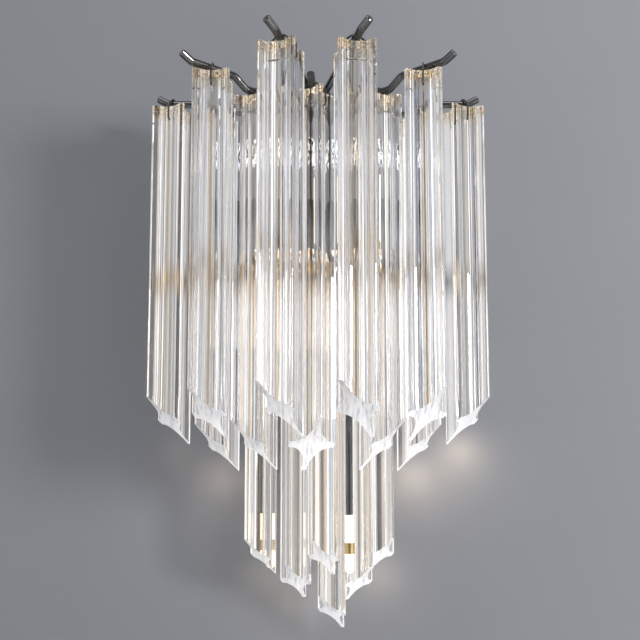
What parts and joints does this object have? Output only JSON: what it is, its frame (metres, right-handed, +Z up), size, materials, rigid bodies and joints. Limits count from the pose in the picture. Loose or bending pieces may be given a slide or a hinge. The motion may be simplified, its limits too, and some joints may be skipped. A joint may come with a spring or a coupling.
{
  "type": "crystal wall sconce",
  "caption": "Wall light with a mirror-polished back cover and bent metal arms that carry tiers of hanging four-lobed crystal rods, lit by capsule lamps between them.",
  "frame": {"origin": "middle of the wall bracket's back face, on the wall", "axes": "+X to the right seen from the room, +Y into the wall, +Z up"},
  "size_m": [0.3683, 0.2433, 0.5886],
  "materials": {
    "mirror_steel": "mirror-polished stainless steel",
    "black_nickel": "polished black nickel",
    "bail_wire": "drawn dark wire",
    "zinc_steel": "zinc-plated sheet",
    "upper_crystal": "clear hand-drawn glass, frosted 45-degree cut at the foot",
    "lower_crystal": "clear hand-drawn glass, frosted 45-degree cut at the foot",
    "lamp_glass": "frosted lamp capsule",
    "lamp_brass": "satin lamp holder",
    "grommet_rubber": "matt moulded rubber",
    "terminal_plastic": "matt moulded",
    "screw_brass": "turned"
  },
  "bodies": {
    "frame": {"wall_bracket": "zinc_steel", "mirror_backplate": "mirror_steel", "cover_nuts": "black_nickel", "cable_grommet": "grommet_rubber", "terminal_block": "terminal_plastic", "earth_screw": "screw_brass", "standoff_tubes": "mirror_steel", "column": "mirror_steel", "hub": "black_nickel", "upper_gallery": "mirror_steel", "lower_gallery": "mirror_steel", "end_arms": "black_nickel", "diagonal_arms": "black_nickel", "front_arms": "black_nickel", "centre_arm": "black_nickel", "lower_hook_01": "black_nickel", "lower_hook_02": "black_nickel", "lower_hook_03": "black_nickel", "lower_hook_04": "black_nickel", "lower_hook_05": "black_nickel", "lower_hook_06": "black_nickel", "pendant_tubes": "black_nickel", "lamp_holders": "lamp_brass", "lamp_capsules": "lamp_glass"},
    "bail_upper_01": {"bail_upper_01": "bail_wire"},
    "prism_upper_01": {"prism_upper_01": "upper_crystal"},
    "bail_upper_02": {"bail_upper_02": "bail_wire"},
    "prism_upper_02": {"prism_upper_02": "upper_crystal"},
    "bail_upper_03": {"bail_upper_03": "bail_wire"},
    "prism_upper_03": {"prism_upper_03": "upper_crystal"},
    "bail_upper_04": {"bail_upper_04": "bail_wire"},
    "prism_upper_04": {"prism_upper_04": "upper_crystal"},
    "bail_upper_05": {"bail_upper_05": "bail_wire"},
    "prism_upper_05": {"prism_upper_05": "upper_crystal"},
    "bail_upper_06": {"bail_upper_06": "bail_wire"},
    "prism_upper_06": {"prism_upper_06": "upper_crystal"},
    "bail_upper_07": {"bail_upper_07": "bail_wire"},
    "prism_upper_07": {"prism_upper_07": "upper_crystal"},
    "bail_upper_08": {"bail_upper_08": "bail_wire"},
    "prism_upper_08": {"prism_upper_08": "upper_crystal"},
    "bail_upper_09": {"bail_upper_09": "bail_wire"},
    "prism_upper_09": {"prism_upper_09": "upper_crystal"},
    "bail_upper_10": {"bail_upper_10": "bail_wire"},
    "prism_upper_10": {"prism_upper_10": "upper_crystal"},
    "bail_upper_11": {"bail_upper_11": "bail_wire"},
    "prism_upper_11": {"prism_upper_11": "upper_crystal"},
    "bail_lower_01": {"bail_lower_01": "bail_wire"},
    "prism_lower_01": {"prism_lower_01": "lower_crystal"},
    "bail_lower_02": {"bail_lower_02": "bail_wire"},
    "prism_lower_02": {"prism_lower_02": "lower_crystal"},
    "bail_lower_03": {"bail_lower_03": "bail_wire"},
    "prism_lower_03": {"prism_lower_03": "lower_crystal"},
    "bail_lower_04": {"bail_lower_04": "bail_wire"},
    "prism_lower_04": {"prism_lower_04": "lower_crystal"},
    "bail_lower_05": {"bail_lower_05": "bail_wire"},
    "prism_lower_05": {"prism_lower_05": "lower_crystal"},
    "bail_lower_06": {"bail_lower_06": "bail_wire"},
    "prism_lower_06": {"prism_lower_06": "lower_crystal"}
  },
  "joints": [
    {"name": "bail_upper_01_swing", "type": "hinge", "parent": "frame", "child": "bail_upper_01", "pos_m": [-0.162, -0.063, 0.189], "axis": [-1, 0, 0], "range_deg": [-3, 3]},
    {"name": "prism_upper_01_swing", "type": "hinge", "parent": "bail_upper_01", "child": "prism_upper_01", "pos_m": [-0.162, -0.063, 0.167], "axis": [-0.2419, -0.9703, 0], "range_deg": [-3, 0.6]},
    {"name": "bail_upper_02_swing", "type": "hinge", "parent": "frame", "child": "bail_upper_02", "pos_m": [-0.109, -0.063, 0.179], "axis": [-1, 0, 0], "range_deg": [-3, 1.75]},
    {"name": "prism_upper_02_swing", "type": "hinge", "parent": "bail_upper_02", "child": "prism_upper_02", "pos_m": [-0.109, -0.063, 0.157], "axis": [-0.3746, -0.9272, 0], "range_deg": [-0.6, 0.8]},
    {"name": "bail_upper_03_swing", "type": "hinge", "parent": "frame", "child": "bail_upper_03", "pos_m": [-0.10802, -0.15048, 0.189], "axis": [-0.7771, -0.6293, 0], "range_deg": [-3, 3]},
    {"name": "prism_upper_03_swing", "type": "hinge", "parent": "bail_upper_03", "child": "prism_upper_03", "pos_m": [-0.10802, -0.15048, 0.167], "axis": [-0.0174, -0.9998, 0], "range_deg": [-3, 0.6]},
    {"name": "bail_upper_04_swing", "type": "hinge", "parent": "frame", "child": "bail_upper_04", "pos_m": [-0.06528, -0.11586, 0.179], "axis": [-0.7771, -0.6293, 0], "range_deg": [-0.35, 1.55]},
    {"name": "prism_upper_04_swing", "type": "hinge", "parent": "bail_upper_04", "child": "prism_upper_04", "pos_m": [-0.06528, -0.11586, 0.157], "axis": [-0.9272, 0.3746, 0], "range_deg": [-0.5, 0.6]},
    {"name": "bail_upper_05_swing", "type": "hinge", "parent": "frame", "child": "bail_upper_05", "pos_m": [-0.03553, -0.21099, 0.189], "axis": [-0.2334, -0.9724, 0], "range_deg": [-3, 2]},
    {"name": "prism_upper_05_swing", "type": "hinge", "parent": "bail_upper_05", "child": "prism_upper_05", "pos_m": [-0.03553, -0.21099, 0.167], "axis": [-0.9659, 0.2588, 0], "range_deg": [-2, 3]},
    {"name": "bail_upper_06_swing", "type": "hinge", "parent": "frame", "child": "bail_upper_06", "pos_m": [-0.00598, -0.13003, 0.179], "axis": [-0.0889, -0.996, 0], "range_deg": [-1.55, 2.3]},
    {"name": "prism_upper_06_swing", "type": "hinge", "parent": "bail_upper_06", "child": "prism_upper_06", "pos_m": [-0.00598, -0.13003, 0.157], "axis": [0.9135, -0.4067, 0], "range_deg": [-3, 0.2]},
    {"name": "bail_upper_07_swing", "type": "hinge", "parent": "frame", "child": "bail_upper_07", "pos_m": [0.03553, -0.21099, 0.189], "axis": [0.2334, -0.9724, 0], "range_deg": [-2, 2.3]},
    {"name": "prism_upper_07_swing", "type": "hinge", "parent": "bail_upper_07", "child": "prism_upper_07", "pos_m": [0.03553, -0.21099, 0.167], "axis": [-0.9954, -0.0958, 0], "range_deg": [-2.3, 3]},
    {"name": "bail_upper_08_swing", "type": "hinge", "parent": "frame", "child": "bail_upper_08", "pos_m": [0.06528, -0.11586, 0.179], "axis": [0.7771, -0.6293, 0], "range_deg": [-1.35, 1.05]},
    {"name": "prism_upper_08_swing", "type": "hinge", "parent": "bail_upper_08", "child": "prism_upper_08", "pos_m": [0.06528, -0.11586, 0.157], "axis": [0.9455, 0.3256, 0], "range_deg": [-0.6, 0.55]},
    {"name": "bail_upper_09_swing", "type": "hinge", "parent": "frame", "child": "bail_upper_09", "pos_m": [0.10802, -0.15048, 0.189], "axis": [0.7771, -0.6293, 0], "range_deg": [-2.3, 3]},
    {"name": "prism_upper_09_swing", "type": "hinge", "parent": "bail_upper_09", "child": "prism_upper_09", "pos_m": [0.10802, -0.15048, 0.167], "axis": [-0.1219, -0.9925, 0], "range_deg": [-0.45, 3]},
    {"name": "bail_upper_10_swing", "type": "hinge", "parent": "frame", "child": "bail_upper_10", "pos_m": [0.109, -0.063, 0.179], "axis": [1, 0, 0], "range_deg": [-1.75, 0.5]},
    {"name": "prism_upper_10_swing", "type": "hinge", "parent": "bail_upper_10", "child": "prism_upper_10", "pos_m": [0.109, -0.063, 0.157], "axis": [0.342, -0.9397, 0], "range_deg": [-0.2, 0.6]},
    {"name": "bail_upper_11_swing", "type": "hinge", "parent": "frame", "child": "bail_upper_11", "pos_m": [0.162, -0.063, 0.189], "axis": [1, 0, 0], "range_deg": [-3, 3]},
    {"name": "prism_upper_11_swing", "type": "hinge", "parent": "bail_upper_11", "child": "prism_upper_11", "pos_m": [0.162, -0.063, 0.167], "axis": [0.2504, -0.9681, 0], "range_deg": [-0.6, 3]},
    {"name": "bail_lower_01_swing", "type": "hinge", "parent": "frame", "child": "bail_lower_01", "pos_m": [-0.061, -0.072, 0.006], "axis": [-0.5882, -0.8087, 0], "range_deg": [-1.55, 0.4]},
    {"name": "prism_lower_01_swing", "type": "hinge", "parent": "bail_lower_01", "child": "prism_lower_01", "pos_m": [-0.061, -0.072, -0.016], "axis": [-0.9703, 0.2419, 0], "range_deg": [-0.9, 0.7]},
    {"name": "bail_lower_02_swing", "type": "hinge", "parent": "frame", "child": "bail_lower_02", "pos_m": [-0.024, -0.058, -0.009], "axis": [0.511, -0.8596, 0], "range_deg": [-0.5, 0.8]},
    {"name": "prism_lower_02_swing", "type": "hinge", "parent": "bail_lower_02", "child": "prism_lower_02", "pos_m": [-0.024, -0.058, -0.031], "axis": [-0.9613, -0.2756, 0], "range_deg": [-1.35, 0.5]},
    {"name": "bail_lower_03_swing", "type": "hinge", "parent": "frame", "child": "bail_lower_03", "pos_m": [0.005, -0.088, 0.006], "axis": [-0.3596, -0.9331, 0], "range_deg": [-0.4, 1.2]},
    {"name": "prism_lower_03_swing", "type": "hinge", "parent": "bail_lower_03", "child": "prism_lower_03", "pos_m": [0.005, -0.088, -0.016], "axis": [-0.9903, -0.1392, 0], "range_deg": [-0.3, 0.25]},
    {"name": "bail_lower_04_swing", "type": "hinge", "parent": "frame", "child": "bail_lower_04", "pos_m": [0.0145, -0.05, -0.009], "axis": [1, -0.0053, 0], "range_deg": [-0.05, 3]},
    {"name": "prism_lower_04_swing", "type": "hinge", "parent": "bail_lower_04", "child": "prism_lower_04", "pos_m": [0.0145, -0.05, -0.031], "axis": [0.0349, -0.9994, 0], "range_deg": [-0.5, 0.25]},
    {"name": "bail_lower_05_swing", "type": "hinge", "parent": "frame", "child": "bail_lower_05", "pos_m": [0.043, -0.077, -0.009], "axis": [0.3207, -0.9472, 0], "range_deg": [-0.05, 0.55]},
    {"name": "prism_lower_05_swing", "type": "hinge", "parent": "bail_lower_05", "child": "prism_lower_05", "pos_m": [0.043, -0.077, -0.031], "axis": [0.9998, -0.0174, 0], "range_deg": [-0.7, 0.05]},
    {"name": "bail_lower_06_swing", "type": "hinge", "parent": "frame", "child": "bail_lower_06", "pos_m": [0.068, -0.046, 0.006], "axis": [0.9798, -0.2001, 0], "range_deg": [-0.25, 2.6]},
    {"name": "prism_lower_06_swing", "type": "hinge", "parent": "bail_lower_06", "child": "prism_lower_06", "pos_m": [0.068, -0.046, -0.016], "axis": [-0.0872, -0.9962, 0], "range_deg": [-0.9, 0.4]}
  ]
}
